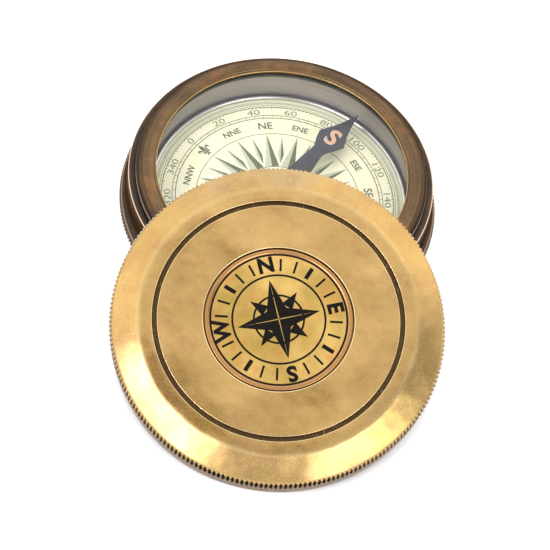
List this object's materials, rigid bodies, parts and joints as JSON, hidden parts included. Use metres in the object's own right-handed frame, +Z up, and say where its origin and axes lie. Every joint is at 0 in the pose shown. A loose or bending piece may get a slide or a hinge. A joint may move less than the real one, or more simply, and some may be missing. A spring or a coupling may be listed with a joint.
{
  "type": "pocket compass",
  "caption": "Round brass pocket compass: glazed case with a printed dial and a free needle, and a knurled screw-on lid that leans on it.",
  "frame": {"origin": "centre of the case's flat underside, on the surface that the compass stands on", "axes": "+Z up along the case's axis and the needle's axis; -Y towards the front, where the lid leans; +X to the right"},
  "size_m": [0.0792, 0.1181, 0.0253],
  "materials": {
    "aged_brass": "turned brass with a dark brown patina, brighter on worn edges",
    "brown_brass": "turned brass with a brown patina, satin",
    "lid_brass": "antique tan brass, fine satin grain, polished bevel",
    "medallion_brass": "polished yellow brass with black enamel print",
    "gold_brass": "polished yellow brass",
    "plain_brass": "plain turned brass",
    "silver_ring": "satin silver-grey",
    "clear_glass": "clear flat glass",
    "dark_gasket": "matt black",
    "dial_paper": "pale yellow-green card with dark print, matt",
    "hard_steel": "hardened bright steel",
    "blued_steel": "dark slate, satin",
    "jewel_stone": "polished red stone"
  },
  "bodies": {
    "case": {"case_body": "aged_brass", "bezel_ring": "brown_brass", "glass_retainer": "gold_brass", "glass": "clear_glass", "glass_gasket": "dark_gasket", "inner_sleeve": "silver_ring", "dial_ring": "silver_ring", "dial_card": "dial_paper", "dial_plate": "plain_brass", "pivot_post": "plain_brass", "pivot_washer": "plain_brass", "pivot_pin": "hard_steel"},
    "needle": {"needle_blade": "blued_steel", "needle_cap": "gold_brass", "cap_jewel": "jewel_stone"},
    "lid": {"lid_shell": "lid_brass", "lid_medallion": "medallion_brass"}
  },
  "joints": [
    {"name": "needle_spin", "type": "hinge", "parent": "case", "child": "needle", "pos_m": [0, 0, 0.008], "axis": [0, 0, 1], "continuous": true},
    {"name": "lid_lift", "type": "slide", "parent": "case", "child": "lid", "axis": [0, 0, 1], "range_m": [0, 0.06]}
  ]
}
